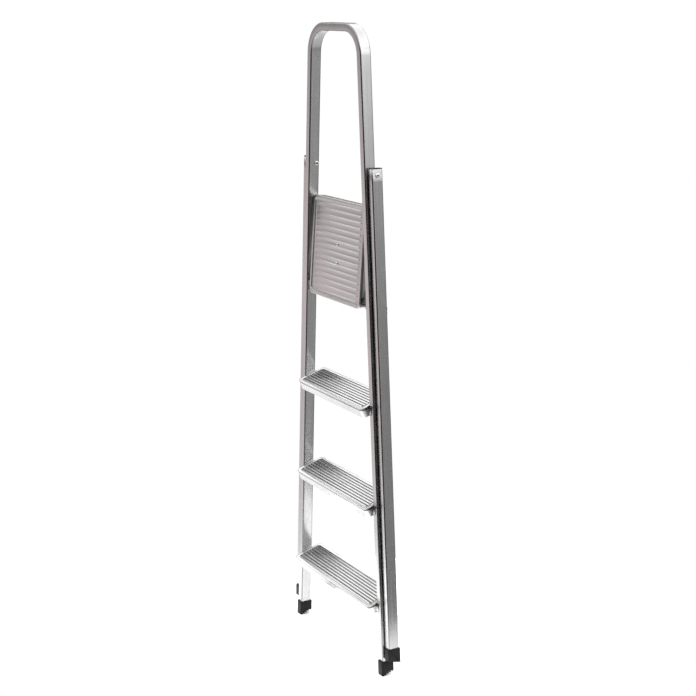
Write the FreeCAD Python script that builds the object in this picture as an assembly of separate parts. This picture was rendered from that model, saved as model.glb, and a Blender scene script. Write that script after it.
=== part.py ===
"""Folding household stepladder in aluminium: three treads, a fold-down platform and a hoop handrail.

Millimetres, +Z up, the treads face -Y, and X = 0 is the plane of symmetry.  Z = 0 is the lowest
edge of the front feet with the ladder folded and its front stiles upright.  Everything is drawn
with Y = 0 on the front face of those stiles, and moved at the end so that Y = 0 is the middle of
the folded depth.  "Right" is the +X side.  Pairs are modelled on the right and mirrored.

Three assemblies share the frame.  The front frame is the bent hoop tube with its treads.  The rear
frame hangs on two pivot rivets.  The platform tray turns on two pins held by brackets.
"""
import FreeCAD, Part
import math
import os

V = FreeCAD.Vector

# ---- overall layout ----
HEIGHT = 1650.0            # floor to the top of the hoop
FLOOR_HALF = 235.0         # half the distance across the front stiles at floor level
SPLAY_RUN = 0.064          # each stile comes in by this much per millimetre of height
LEAN = 18.0                # lean of the front stiles when open, and so the pitch of the treads
OPEN_ANGLE = 30.0          # opening between the front and the rear frame
STEPS = 4                  # three fixed treads and the platform
HOOP_RISE = 683.0          # top of the hoop above the fourth step

# ---- tube shared by the stiles and the rear legs ----
TUBE_T = 20.0              # across the ladder
TUBE_D = 30.0              # front to back
TUBE_WALL = 1.5
TUBE_ROUND = 3.0           # outside corner radius
BEND_R = 70.0              # centreline radius of the two hoop bends

# ---- treads ----
TREAD_DEPTH = 85.0
TREAD_FIRST = 186.0        # height of the front edge of the lowest tread
TREAD_NOSE = 25.0          # how far a tread stands in front of the stiles
TREAD_SKIRT = 26.0
TREAD_CORNER = 13.0
TREAD_RIBS = 8
TREAD_RIB_W = 5.0
TREAD_RIB_RISE = 2.3       # height of a rib above the field
TREAD_RIB_END = 3.0        # end of a rib to the edge of the field
TREAD_GAP = 0.1            # tread lip to stile face
TREAD_END = 0.4            # skirt end inside the lip end
TREAD_RIVET_AT = (0.27, 0.73)   # share of the tube's depth
TREAD_RIVET_DROP = 0.62         # share of the skirt's height

# ---- pressed sheet shared by the treads and the platform ----
SHEET = 2.0                # skirt thickness
DECK = 3.0                 # deck thickness under the ribs
RIM = 8.0                  # flat border around the ribbed field
RECESS = 2.4               # field below the rim
LIP = 4.0                  # height of the rolled lip around the deck
LIP_OUT = 1.5              # how far the lip stands out past the skirt
LIP_ROUND = 1.8            # rounding of the lip's outer edges
RIB_SIDE = 0.55            # share of a rib's height that is upright
RIB_SHORT = 2.5            # the two outermost ribs are shorter at each end
LAP_W = 9.0                # tab that laps the front face of the stile
LAP_H = 18.0
LAP_T = 1.2
LAP_DROP = 4.0             # top of the tab below the deck
LAP_ROOT = 3.0             # root of the tab inside the skirt

# ---- platform ----
PLAT_DEPTH = 260.0
PLAT_SIDE = 6.7            # lip to stile at the folded platform's upper edge
PLAT_SKIRT = 25.0
PLAT_CORNER = 14.0
PLAT_RIBS = 16
PLAT_RIB_W = 3.4
PLAT_RIB_RISE = 1.3
PLAT_RIB_END = 11.0
PLAT_FOLD = 85.8           # folded pitch of the deck, from level stiles
PIN_Y = 8.8                # platform pin axis, behind the front face of the stiles
PIN_RISE = 8.4             # pin axis above the fourth step
PIN_ALONG = 23.4           # pin axis behind the platform's front lip
PIN_BELOW = 13.0           # pin axis under the deck
PIN_R = 4.0
PIN_HEAD_R = 6.0
PIN_HEAD = 2.0
PIN_STOP = 0.7             # bracket boss left behind the blind bore
BOSS_R = 7.0
BOSS_GAP = 1.0             # boss to platform lip
BRACKET_T = 3.0
BRACKET_FRONT = 7.5        # bracket plate ahead of the pin axis
BRACKET_REAR = 17.0
BRACKET_HALF = 20.0        # half the height of the plate
BRACKET_ROUND = 6.0
BRACKET_RIVET = 13.0       # rivet above and below the pin axis
BRACKET_RIVET_BACK = 8.5   # rivet behind the pin axis

# ---- rear frame ----
PIVOT_Y = 22.0             # leg pivot axis
PIVOT_DROP = 359.0         # leg pivot axis below the top of the hoop
LEG_GAP = 3.0              # stile to leg
LEG_TOP = 16.0             # leg with its plug, above the pivot axis
PLUG_T = 2.2               # flange of the plug in the top of the leg
PLUG_IN = 7.5              # plug inside the tube
PLUG_WALL = 1.8
PLUG_FIT = 0.08
PLUG_CHAMFER = 0.4
PIVOT_R = 3.5
PIVOT_HEAD_R = 5.6
PIVOT_HEAD = 2.0
PIVOT_CROWN_R = 4.2        # raised centre of each head
PIVOT_CROWN = 0.7
PIVOT_DIMPLE_R = 2.5
PIVOT_DIMPLE = 2.1         # depth of the dimple from the crown
SPACER_R = 9.0
SPACER_T = 2.6
HEAD_CLEAR = 0.3           # rivet head to the part that turns
RUN_CLEAR = 0.05           # radial clearance of every turning bore

# ---- cross members of the rear frame ----
BAR_WEB = 2.0
BAR_LAP = 15.0             # web lap over the leg
BAR_TRIM = 14.0            # flanges stop this far inside the stile line
BAR_ROUND = 5.0
BAR_RIVETS = (0.25, 0.75)  # share of the bar's height
BRACE_DROP = 34.0          # middle of the lower brace below the lowest tread's edge
BRACE_H = 30.0
BRACE_D = 14.0
RAIL_H = 24.0
RAIL_D = 18.0
RAIL_DROP = 0.3            # gap under the open platform

# ---- latch clip under the platform ----
CLIP_W = 26.0
CLIP_T = 2.0
CLIP_RIVETS = (97.0, 145.0)
CLIP_END = 17.0            # strap beyond its first rivet
CLIP_CLEAR = 1.5           # clip to rail all round
CLIP_FRONT = 7.0           # front arm stops this far above the bottom of the rail
CLIP_REAR = 1.0            # rear arm, likewise
CLIP_FLARE = 4.0           # lead-in at the foot of the front arm
CLIP_CURL = 5.0            # finger lip at the foot of the rear arm
CLIP_SPOT = 0.6            # ring cleared around each rivet head

# ---- feet ----
FOOT_WALL = 3.0
FOOT_BESIDE = 2.5          # front foot's wall on the leg side
FOOT_INNER = 1.8           # rear foot's wall on the stile side
FOOT_FIT = 0.1
FOOT_STACK = 0.838         # front sleeve stops this far below the rear sole
FOOT_ROUND = 5.0
FOOT_CHAMFER = 0.9
TUBE_END = 17.0            # tube end above the floor
REAR_SLEEVE = 34.0         # rear sleeve height above the sole centre
REAR_SEAT = 13.0
SOLE_SLOTS = 4
SOLE_SLOT_W = 3.0
SOLE_SLOT_D = 3.5

# ---- blind rivets ----
RIVET_R = 2.4
RIVET_HEAD_R = 4.6
RIVET_HEAD = 1.6
RIVET_DOME = 0.7           # share of the head's height that is rounded
RIVET_TAIL_R = 3.6
RIVET_TAIL = 3.0
RIVET_SLACK = 0.1          # joint to tail
RIVET_SEAT = 0.02          # joint to head
RIVET_FIT = 0.05
RIVET_HOLE_R = 1.3
RIVET_HOLE = 2.1           # depth of the hole in the head

# ---- drawing ----
BIG = 4000.0               # larger than the ladder
CUT = 1.0                  # how far a cutting tool passes the surface
MERGE = 0.2                # how far two pieces that become one overlap
SAME = 0.01                # two places closer than this are the same
LEVEL = 0.9                # an edge whose direction is at least this much along an axis

# ---- derived sizes ----
SPLAY = math.atan(SPLAY_RUN)
LEAN_R = math.radians(LEAN)
OPEN_R = math.radians(OPEN_ANGLE)
FOLD_R = math.radians(PLAT_FOLD)
TREADS = STEPS - 1
FOURTH_STEP = HEIGHT - HOOP_RISE
TREAD_STEP = (FOURTH_STEP - TREAD_FIRST) / TREADS
TREAD_GRIP = SHEET + TREAD_END + TREAD_GAP + TUBE_WALL
TREAD_SEAT = -TUBE_T - TREAD_GAP - TREAD_END - SHEET
PIN_Z = FOURTH_STEP + PIN_RISE
PLAT_LIP_Y = PIN_Y - PIN_ALONG * math.cos(FOLD_R) - PIN_BELOW * math.sin(FOLD_R)
PLAT_LIP_Z = PIN_Z - PIN_ALONG * math.sin(FOLD_R) + PIN_BELOW * math.cos(FOLD_R)
BRACKET_SEAT = -TUBE_T - RIVET_FIT - BRACKET_T
PIVOT_Z = HEIGHT - PIVOT_DROP
LEG_OUT = LEG_GAP + TUBE_T
RAIL_Y0 = PIVOT_Y + TUBE_D / 2 + RIVET_FIT
BRACE_Z = TREAD_FIRST - BRACE_DROP
FOOT_OUT = FOOT_WALL + FOOT_FIT


# ---- frames ----
def splayed(shape):
    """Put a shape drawn beside an upright stile (x = 0 on its outer face) on to the right stile."""
    out = shape.copy()
    out.rotate(V(0, 0, 0), V(0, 1, 0), -math.degrees(SPLAY))
    out.translate(V(FLOOR_HALF, 0, 0))
    return out


def along(z):
    """Distance along the stile that reaches the height z on its outer face."""
    return z / math.cos(SPLAY)


def slab(x0, x1):
    """The space between two planes parallel to the right stile's faces."""
    return splayed(Part.makeBox(x1 - x0, BIG, BIG, V(x0, -BIG / 2, -BIG / 2)))


def inner_half(z):
    """Half the clear width between the stiles at the height z."""
    return FLOOR_HALF - TUBE_T / math.cos(SPLAY) - SPLAY_RUN * z


def mirrored(shape):
    return shape.mirror(V(0, 0, 0), V(1, 0, 0))


def pitched(shape, degrees, y, z):
    """Stand a tray drawn level, front edge on the X axis, at its pitch and place."""
    out = shape.copy()
    out.rotate(V(0, 0, 0), V(1, 0, 0), degrees)
    out.translate(V(0, y, z))
    return out


def fuse(shapes):
    out = shapes[0]
    for shape in shapes[1:]:
        out = out.fuse(shape)
    return out.removeSplitter()


def x_cylinder(radius, x0, x1, y, z):
    return Part.makeCylinder(radius, x1 - x0, V(x0, y, z), V(1, 0, 0))


def edges_along(shape, axis):
    """Straight edges that run along an axis, given as a unit vector."""
    return [e for e in shape.Edges if abs(e.tangentAt(e.FirstParameter).dot(axis)) > LEVEL]


# ---- derived places ----
def sole_height():
    """Height of the rear sole when folded, so that all four soles meet the floor when open."""
    floor = FOOT_OUT * math.sin(LEAN_R)
    pivot = -PIVOT_Y * math.sin(LEAN_R) + PIVOT_Z * math.cos(LEAN_R)
    return PIVOT_Z - (pivot - floor) / math.cos(OPEN_R - LEAN_R)


def rail_top():
    """Height of the rail when folded, so the open platform's skirt just rests on its rear edge."""
    swing = FOLD_R - LEAN_R
    ly = PLAT_LIP_Y + (PLAT_SKIRT + RAIL_DROP) * math.sin(FOLD_R) - PIN_Y
    lz = PLAT_LIP_Z - (PLAT_SKIRT + RAIL_DROP) * math.cos(FOLD_R) - PIN_Z
    oy = PIN_Y + ly * math.cos(swing) + lz * math.sin(swing)
    oz = PIN_Z - ly * math.sin(swing) + lz * math.cos(swing)
    ny = -math.sin(LEAN_R)
    nz = math.cos(LEAN_R)
    dy = RAIL_Y0 + RAIL_D - PIVOT_Y
    level = (oy - PIVOT_Y) * ny + (oz - PIVOT_Z) * nz
    fixed = dy * (math.cos(OPEN_R) * ny + math.sin(OPEN_R) * nz)
    drop = (fixed - level) / (-math.sin(OPEN_R) * ny + math.cos(OPEN_R) * nz)
    return PIVOT_Z - drop


def rail_corners():
    """Corners of the rail section as (depth, drop) on the open platform, from its front edge."""
    swing = FOLD_R - LEAN_R
    spots = []
    for y in (RAIL_Y0, RAIL_Y0 + RAIL_D):
        for z in (RAIL_TOP - RAIL_H, RAIL_TOP):
            dy = y - PIVOT_Y
            dz = z - PIVOT_Z
            ry = PIVOT_Y + dy * math.cos(OPEN_R) - dz * math.sin(OPEN_R) - PIN_Y
            rz = PIVOT_Z + dy * math.sin(OPEN_R) + dz * math.cos(OPEN_R) - PIN_Z
            fy = ry * math.cos(swing) - rz * math.sin(swing) + PIN_Y - PLAT_LIP_Y
            fz = ry * math.sin(swing) + rz * math.cos(swing) + PIN_Z - PLAT_LIP_Z
            depth = fy * math.cos(FOLD_R) + fz * math.sin(FOLD_R)
            drop = fy * math.sin(FOLD_R) - fz * math.cos(FOLD_R)
            spots.append((depth, drop))
    return spots


def share_heights(z0, height):
    """Heights of the two rivets in each end of a bar whose lower edge is at z0."""
    return tuple(z0 + height * share for share in BAR_RIVETS)


SOLE_Z = sole_height()
FOOT_TOP = SOLE_Z - (TUBE_D / 2 + FOOT_OUT) * math.tan(OPEN_R - LEAN_R) - FOOT_STACK
RAIL_TOP = rail_top()
RAIL_RIVETS = share_heights(RAIL_TOP - RAIL_H, RAIL_H)
BRACE_RIVETS = share_heights(BRACE_Z - BRACE_H / 2, BRACE_H)
PLAT_HALF = inner_half(PLAT_LIP_Z + PLAT_DEPTH * math.sin(FOLD_R)) - PLAT_SIDE


# ---- tube ----
def rounded_rect(x0, y0, x1, y1, r, z):
    """Closed wire in a level plane."""
    c = r * (1 - math.sqrt(0.5))
    p = [V(x0 + r, y0, z), V(x1 - r, y0, z), V(x1, y0 + r, z), V(x1, y1 - r, z),
         V(x1 - r, y1, z), V(x0 + r, y1, z), V(x0, y1 - r, z), V(x0, y0 + r, z)]
    m = [V(x1 - c, y0 + c, z), V(x1 - c, y1 - c, z), V(x0 + c, y1 - c, z), V(x0 + c, y0 + c, z)]
    edges = []
    for i in range(4):
        edges.append(Part.makeLine(p[2 * i], p[2 * i + 1]))
        edges.append(Part.Arc(p[2 * i + 1], m[i], p[(2 * i + 2) % 8]).toShape())
    return Part.Wire(edges)


def tube_section(x0, y0, inset, z):
    x1 = x0 + TUBE_T - inset
    y1 = y0 + TUBE_D - inset
    return rounded_rect(x0 + inset, y0 + inset, x1, y1, TUBE_ROUND - inset, z)


def hoop_path():
    """Centreline of the bent tube, from the right foot over the hoop to the left foot."""
    s = math.sin(SPLAY)
    c = math.cos(SPLAY)
    half = TUBE_T / 2
    run = (HEIGHT - half + half * s) / c
    corner_x = FLOOR_HALF - half * c - run * s
    top = HEIGHT - half
    tangent = BEND_R * math.tan((math.pi / 2 - SPLAY) / 2)
    start = along(TUBE_END)
    foot = V(FLOOR_HALF - half * c - start * s, TUBE_D / 2, start * c - half * s)
    rise = V(corner_x + tangent * s, TUBE_D / 2, top - tangent * c)
    flat = V(corner_x - tangent, TUBE_D / 2, top)
    centre = V(flat.x, TUBE_D / 2, top - BEND_R)
    mid_angle = (SPLAY + math.pi / 2) / 2
    mid = centre + V(BEND_R * math.cos(mid_angle), 0, BEND_R * math.sin(mid_angle))

    def left(p):
        return V(-p.x, p.y, p.z)

    return Part.Wire([
        Part.makeLine(foot, rise),
        Part.Arc(rise, mid, flat).toShape(),
        Part.makeLine(flat, left(flat)),
        Part.Arc(left(flat), left(mid), left(rise)).toShape(),
        Part.makeLine(left(rise), left(foot)),
    ])


def swept(path, section):
    sweep = Part.BRepOffsetAPI.MakePipeShell(path)
    sweep.setBiNormalMode(V(0, 1, 0))
    sweep.add(section)
    sweep.build()
    sweep.makeSolid()
    return sweep.shape()


def hoop_tube():
    start = along(TUBE_END)
    outer = swept(hoop_path(), splayed(tube_section(-TUBE_T, 0, 0, start)))
    bore = swept(hoop_path(), splayed(tube_section(-TUBE_T, 0, TUBE_WALL, start)))
    return outer.cut(bore)


def plug_seat():
    """Distance along the stile to the top end of the leg tube."""
    return along(PIVOT_Z + LEG_TOP) - PLUG_T


def leg_tube():
    """Right rear leg, open at both ends."""
    y0 = PIVOT_Y - TUBE_D / 2
    z0 = along(SOLE_Z + REAR_SEAT)
    rise = V(0, 0, plug_seat() - z0)
    outer = Part.Face(tube_section(LEG_GAP, y0, 0, z0)).extrude(rise)
    bore = Part.Face(tube_section(LEG_GAP, y0, TUBE_WALL, z0)).extrude(rise)
    return splayed(outer.cut(bore))


def leg_plug():
    """Plug in the top of the right rear leg: a flange of the tube's outline and a hollow shank."""
    y0 = PIVOT_Y - TUBE_D / 2
    seat = plug_seat()
    inner = TUBE_WALL + PLUG_FIT
    flange = Part.Face(tube_section(LEG_GAP, y0, 0, seat)).extrude(V(0, 0, PLUG_T))
    top = [e for e in flange.Edges if abs(e.CenterOfMass.z - seat - PLUG_T) < SAME]
    flange = flange.makeChamfer(PLUG_CHAMFER, top)
    shank = Part.Face(tube_section(LEG_GAP, y0, inner, seat - PLUG_IN)).extrude(V(0, 0, PLUG_IN + MERGE))
    core = Part.makeBox(TUBE_T - 2 * (inner + PLUG_WALL), TUBE_D - 2 * (inner + PLUG_WALL), PLUG_IN + CUT,
                        V(LEG_GAP + inner + PLUG_WALL, y0 + inner + PLUG_WALL, seat - PLUG_IN - CUT))
    return splayed(fuse([flange, shank]).cut(core))


# ---- rivets ----
def blind_rivet(grip):
    """Blind rivet along +X: the head ends at x = 0 and the joint it grips runs to x = grip."""
    head = Part.makeCylinder(RIVET_HEAD_R, RIVET_HEAD, V(-RIVET_HEAD, 0, 0), V(1, 0, 0))
    rim = [e for e in head.Edges if abs(e.CenterOfMass.x + RIVET_HEAD) < SAME and len(e.Vertexes) == 1]
    head = head.makeFillet(RIVET_HEAD * RIVET_DOME, rim)
    shank_end = grip + RIVET_SLACK + MERGE
    shank = Part.makeCylinder(RIVET_R, shank_end + MERGE, V(-MERGE, 0, 0), V(1, 0, 0))
    tail = Part.makeCylinder(RIVET_TAIL_R, RIVET_TAIL, V(grip + RIVET_SLACK, 0, 0), V(1, 0, 0))
    hole = Part.makeCylinder(RIVET_HOLE_R, RIVET_HOLE + CUT, V(-RIVET_HEAD - CUT, 0, 0), V(1, 0, 0))
    return fuse([head, shank, tail]).cut(hole)


def rivet_hole(grip):
    return Part.makeCylinder(RIVET_R + RIVET_FIT, grip + 2 * CUT, V(-CUT, 0, 0), V(1, 0, 0))


def at_stile(shape, x, y, z):
    """Move something drawn along +X to a point beside the right stile's frame."""
    out = shape.copy()
    out.translate(V(x, y, along(z)))
    return splayed(out)


def facing_front(shape, x, y, z):
    """Turn something drawn along +X so it runs toward -Y, and move it."""
    out = shape.copy()
    out.rotate(V(0, 0, 0), V(0, 0, 1), -90)
    out.translate(V(x, y, z))
    return out


# ---- pressed trays ----
def corner_wire(half_front, half_rear, y0, y1, r, z):
    """Rounded trapezium, symmetrical about X = 0."""
    pts = [V(-half_front, y0, z), V(half_front, y0, z), V(half_rear, y1, z), V(-half_rear, y1, z)]
    edges = []
    ends = []
    for i in range(4):
        here = pts[i]
        back = (pts[i - 1] - here).normalize()
        on = (pts[(i + 1) % 4] - here).normalize()
        half = math.acos(max(-1.0, min(1.0, back.dot(on)))) / 2
        reach = r / math.tan(half)
        centre = here + (back + on).normalize() * (r / math.sin(half))
        mid = centre + (here - centre).normalize() * r
        ends.append((here + back * reach, mid, here + on * reach))
    for i in range(4):
        edges.append(Part.Arc(*ends[i]).toShape())
        edges.append(Part.makeLine(ends[i][2], ends[(i + 1) % 4][0]))
    return Part.Wire(edges)


def prism(half, y0, y1, r, z0, z1):
    """Solid between two levels, its half width given by half(y, z)."""
    low = corner_wire(half(y0, z0), half(y1, z0), y0, y1, r, z0)
    high = corner_wire(half(y0, z1), half(y1, z1), y0, y1, r, z1)
    return Part.makeLoft([low, high], True, True)


def rib(half_length, y, width, rise):
    """Round-topped rib along X, standing on the ribbed field."""
    shoulder = rise * RIB_SIDE - RECESS
    root = -RECESS - MERGE
    a = V(-half_length, y - width / 2, root)
    b = V(-half_length, y - width / 2, shoulder)
    c = V(-half_length, y, rise - RECESS)
    d = V(-half_length, y + width / 2, shoulder)
    e = V(-half_length, y + width / 2, root)
    wire = Part.Wire([Part.makeLine(a, b), Part.Arc(b, c, d).toShape(), Part.makeLine(d, e),
                      Part.makeLine(e, a)])
    return Part.Face(wire).extrude(V(2 * half_length, 0, 0))


def tray_hollow(half, depth, skirt, corner, end_out):
    """The space inside the skirts and under the deck."""
    inset = LIP_OUT + SHEET
    return prism(lambda y, z: half(y, z) - end_out - SHEET, inset, depth - inset, corner - inset,
                 -skirt - CUT, -RECESS - DECK)


def tray(half, depth, skirt, corner, end_out, ribs, rib_w, rib_rise, rib_end):
    """Level tray, front edge at y = 0 and rim at z = 0, with skirts down to z = -skirt.

    end_out is how far the lip stands out past the skirt at the two ends.
    """
    lip = prism(half, 0, depth, corner, -LIP, 0)
    level = [e for e in lip.Edges if e.BoundBox.ZLength < SAME]
    lip = lip.makeFillet(LIP_ROUND, level)
    body = prism(lambda y, z: half(y, z) - end_out, LIP_OUT, depth - LIP_OUT, corner - LIP_OUT,
                 -skirt, -LIP / 2)
    inside = tray_hollow(half, depth, skirt, corner, end_out)
    field_half = half(depth, 0) - RIM
    field = prism(lambda y, z: field_half, RIM, depth - RIM, corner - RIM / 2, -RECESS, CUT)
    shape = fuse([lip, body]).cut(inside).cut(field)
    pitch = (depth - 2 * RIM) / ribs
    rows = []
    for i in range(ribs):
        outermost = i in (0, ribs - 1)
        length = field_half - rib_end - (RIB_SHORT if outermost else 0.0)
        rows.append(rib(length, RIM + pitch * (i + 0.5), rib_w, rib_rise))
    return shape.fuse(Part.makeCompound(rows)).removeSplitter()


def tread_place(index):
    return -TREAD_NOSE, TREAD_FIRST + TREAD_STEP * index


def tread_rivet_spots(index):
    """Rivets through each end of a tread into the stile, as (y, z)."""
    y0, z0 = tread_place(index)
    spots = []
    for share in TREAD_RIVET_AT:
        y = TUBE_D * share
        spots.append((y, z0 + (y - y0) * math.tan(LEAN_R) - TREAD_SKIRT * TREAD_RIVET_DROP))
    return spots


def tread_lap(z0):
    """Tab on the right that laps the front face of the stile, with its root in the skirt."""
    deck_z = z0 + TREAD_NOSE * math.tan(LEAN_R)
    z = along(deck_z - LAP_H - LAP_DROP)
    front = -LAP_T - TREAD_GAP
    tab = Part.makeBox(LAP_W + 2 * SHEET, LAP_T, LAP_H, V(-TUBE_T - 2 * SHEET, front, z))
    root = Part.makeBox(SHEET, LAP_T + TREAD_GAP + LAP_ROOT, LAP_H,
                        V(-TUBE_T - SHEET - TREAD_GAP, front, z))
    return splayed(tab).fuse(splayed(root))


def tread(index):
    y0, z0 = tread_place(index)

    def half(y, z):
        height = z0 + y * math.sin(LEAN_R) + z * math.cos(LEAN_R)
        return inner_half(height) - TREAD_GAP

    level = tray(half, TREAD_DEPTH, TREAD_SKIRT, TREAD_CORNER, TREAD_END, TREAD_RIBS, TREAD_RIB_W,
                 TREAD_RIB_RISE, TREAD_RIB_END)
    hollow = tray_hollow(half, TREAD_DEPTH, TREAD_SKIRT, TREAD_CORNER, TREAD_END)
    lap = tread_lap(z0).cut(pitched(hollow, LEAN, y0, z0))
    shape = fuse([pitched(level, LEAN, y0, z0), lap, mirrored(lap)])
    for y, z in tread_rivet_spots(index):
        hole = at_stile(rivet_hole(TREAD_GRIP), TREAD_SEAT, y, z)
        shape = shape.cut(hole).cut(mirrored(hole))
    return shape


# ---- platform ----
def on_platform(shape):
    """Place something drawn on the level platform (front edge on the X axis, rim at z = 0)."""
    return pitched(shape, PLAT_FOLD, PLAT_LIP_Y, PLAT_LIP_Z)


def platform_tray():
    shape = tray(lambda y, z: PLAT_HALF, PLAT_DEPTH, PLAT_SKIRT, PLAT_CORNER, LIP_OUT, PLAT_RIBS,
                 PLAT_RIB_W, PLAT_RIB_RISE, PLAT_RIB_END)
    for y in CLIP_RIVETS:
        hole = Part.makeCylinder(RIVET_R + RIVET_FIT, PLAT_SKIRT, V(0, y, -RECESS - DECK - CUT))
        spot = Part.makeCylinder(RIVET_HEAD_R + CLIP_SPOT, RECESS + CUT, V(0, y, -RECESS))
        shape = shape.cut(hole).cut(spot)
    bore = x_cylinder(PIN_R + RUN_CLEAR, -PLAT_HALF - CUT, PLAT_HALF + CUT, PIN_Y, PIN_Z)
    return on_platform(shape).cut(bore)


def latch_clip():
    """Strap under the deck that ends in a hook over the open rear frame's rail."""
    corners = rail_corners()
    start = CLIP_RIVETS[0] - CLIP_END
    near = min(p[0] for p in corners) - CLIP_CLEAR - CLIP_T
    far = max(p[0] for p in corners) + CLIP_CLEAR + CLIP_T
    low = max(p[1] for p in corners)
    top = -RECESS - DECK - RIVET_FIT
    x = -CLIP_W / 2
    front_foot_z = CLIP_FRONT - low
    rear_foot_z = CLIP_REAR - low
    strap = Part.makeBox(CLIP_W, far - start, CLIP_T, V(x, start, top - CLIP_T))
    front_arm = Part.makeBox(CLIP_W, CLIP_T, top - front_foot_z, V(x, near, front_foot_z))
    rear_arm = Part.makeBox(CLIP_W, CLIP_T, top - rear_foot_z, V(x, far - CLIP_T, rear_foot_z))
    curl = Part.makeBox(CLIP_W, CLIP_T + CLIP_CURL, CLIP_T, V(x, far - CLIP_T, rear_foot_z))
    flare = Part.makeBox(CLIP_W, CLIP_T + CLIP_FLARE, CLIP_T, V(x, near - CLIP_FLARE, front_foot_z))
    shape = fuse([strap, front_arm, rear_arm, curl, flare])
    for y in CLIP_RIVETS:
        hole = Part.makeCylinder(RIVET_R + RIVET_FIT, CLIP_T + 2 * CUT, V(0, y, top - CLIP_T - CUT))
        shape = shape.cut(hole)
    return on_platform(shape)


def clip_rivets():
    rows = []
    for y in CLIP_RIVETS:
        rivet = blind_rivet(DECK + RIVET_FIT + CLIP_T)
        rivet.rotate(V(0, 0, 0), V(0, 1, 0), 90)
        rivet.translate(V(0, y, -RECESS))
        rows.append(on_platform(rivet))
    return Part.makeCompound(rows)


def platform_pin():
    """Right pin: pressed in the bracket, and the platform's end skirt turns on it."""
    head_face = PLAT_HALF - LIP_OUT - SHEET - HEAD_CLEAR
    outer = inner_half(PIN_Z) - PIN_STOP - RIVET_SLACK
    shank = x_cylinder(PIN_R, head_face - MERGE, outer, PIN_Y, PIN_Z)
    head = x_cylinder(PIN_HEAD_R, head_face - PIN_HEAD, head_face, PIN_Y, PIN_Z)
    return fuse([shank, head])


def bracket_rivet_spots():
    y = PIN_Y + BRACKET_RIVET_BACK
    return [(y, PIN_Z - BRACKET_RIVET), (y, PIN_Z + BRACKET_RIVET)]


def platform_bracket():
    """Right bracket: a plate on the stile's inner face with a boss toward the platform."""
    z0 = along(PIN_Z - BRACKET_HALF)
    z1 = along(PIN_Z + BRACKET_HALF)
    plate = Part.makeBox(BRACKET_T, BRACKET_FRONT + BRACKET_REAR, z1 - z0,
                         V(BRACKET_SEAT, PIN_Y - BRACKET_FRONT, z0))
    plate = splayed(plate.makeFillet(BRACKET_ROUND, edges_along(plate, V(1, 0, 0))))
    boss = x_cylinder(BOSS_R, PLAT_HALF + BOSS_GAP, inner_half(PIN_Z) + BRACKET_T, PIN_Y, PIN_Z)
    boss = boss.common(slab(-BIG / 4, -TUBE_T - RIVET_FIT))
    shape = fuse([plate, boss])
    shape = shape.cut(x_cylinder(PIN_R + RIVET_FIT, 0, inner_half(PIN_Z) - PIN_STOP, PIN_Y, PIN_Z))
    for y, z in bracket_rivet_spots():
        shape = shape.cut(at_stile(rivet_hole(BRACKET_T + TUBE_WALL), BRACKET_SEAT, y, z))
    return shape


# ---- leg pivot ----
def pivot_rod(radius):
    """Bar on the right pivot's axis, long enough to be cut at the stile's and the leg's faces."""
    x0 = inner_half(PIVOT_Z) - TUBE_T
    return x_cylinder(radius, x0, x0 + 6 * TUBE_T, PIVOT_Y, PIVOT_Z)


def pivot_rivet():
    """Right pivot rivet, fixed in the stile, with the rear leg turning on it."""
    near = -TUBE_T - RIVET_FIT
    far = LEG_OUT + HEAD_CLEAR
    crown = PIVOT_HEAD + PIVOT_CROWN
    shank = pivot_rod(PIVOT_R).common(slab(near - PIVOT_HEAD / 2, far + PIVOT_HEAD / 2))
    heads = []
    for a, b in ((near - PIVOT_HEAD, near), (far, far + PIVOT_HEAD)):
        heads.append(pivot_rod(PIVOT_HEAD_R).common(slab(a, b)))
    for a, b in ((near - crown, near), (far, far + crown)):
        heads.append(pivot_rod(PIVOT_CROWN_R).common(slab(a, b)))
    shape = fuse([shank] + heads)
    inner_dimple = slab(near - crown - CUT, near - crown + PIVOT_DIMPLE)
    outer_dimple = slab(far + crown - PIVOT_DIMPLE, far + crown + CUT)
    for space in (inner_dimple, outer_dimple):
        shape = shape.cut(pivot_rod(PIVOT_DIMPLE_R).common(space))
    return shape


def pivot_bore():
    return pivot_rod(PIVOT_R + RUN_CLEAR)


def leg_spacer():
    disc = pivot_rod(SPACER_R).common(slab(RIVET_FIT, SPACER_T))
    return disc.cut(pivot_bore())


# ---- cross members ----
def leg_line(z):
    """Outer face of the front stile at the height z, from which the rear leg is set out."""
    return FLOOR_HALF - SPLAY_RUN * z


def bar_rivet_x(z):
    return leg_line(z) + (LEG_GAP + TUBE_T / 2) / math.cos(SPLAY)


def channel(z0, height, depth, rivets):
    """Pressed channel on the rear faces of the legs, flanges to the rear and cut back at the ends."""
    reach = leg_line(z0 + height / 2) + LEG_GAP + BAR_LAP
    flange = leg_line(z0 + height) - BAR_TRIM
    web = Part.makeBox(2 * reach, BAR_WEB, height, V(-reach, RAIL_Y0, z0))
    web = web.makeFillet(BAR_ROUND, edges_along(web, V(0, 1, 0)))
    full = Part.makeBox(2 * flange, depth, height, V(-flange, RAIL_Y0, z0))
    hollow = Part.makeBox(2 * flange + 2 * CUT, depth, height - 2 * BAR_WEB,
                          V(-flange - CUT, RAIL_Y0 + BAR_WEB, z0 + BAR_WEB))
    shape = fuse([web, full.cut(hollow)])
    for z in rivets:
        hole = facing_front(rivet_hole(BAR_WEB + TUBE_WALL), bar_rivet_x(z), RAIL_Y0 + BAR_WEB, z)
        shape = shape.cut(hole).cut(mirrored(hole))
    return shape


def bar_rivets(rivets):
    rows = []
    for z in rivets:
        rivet = blind_rivet(BAR_WEB + TUBE_WALL + RIVET_FIT)
        rivet = facing_front(rivet, bar_rivet_x(z), RAIL_Y0 + BAR_WEB, z)
        rows.append(rivet)
        rows.append(mirrored(rivet))
    return Part.makeCompound(rows)


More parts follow.
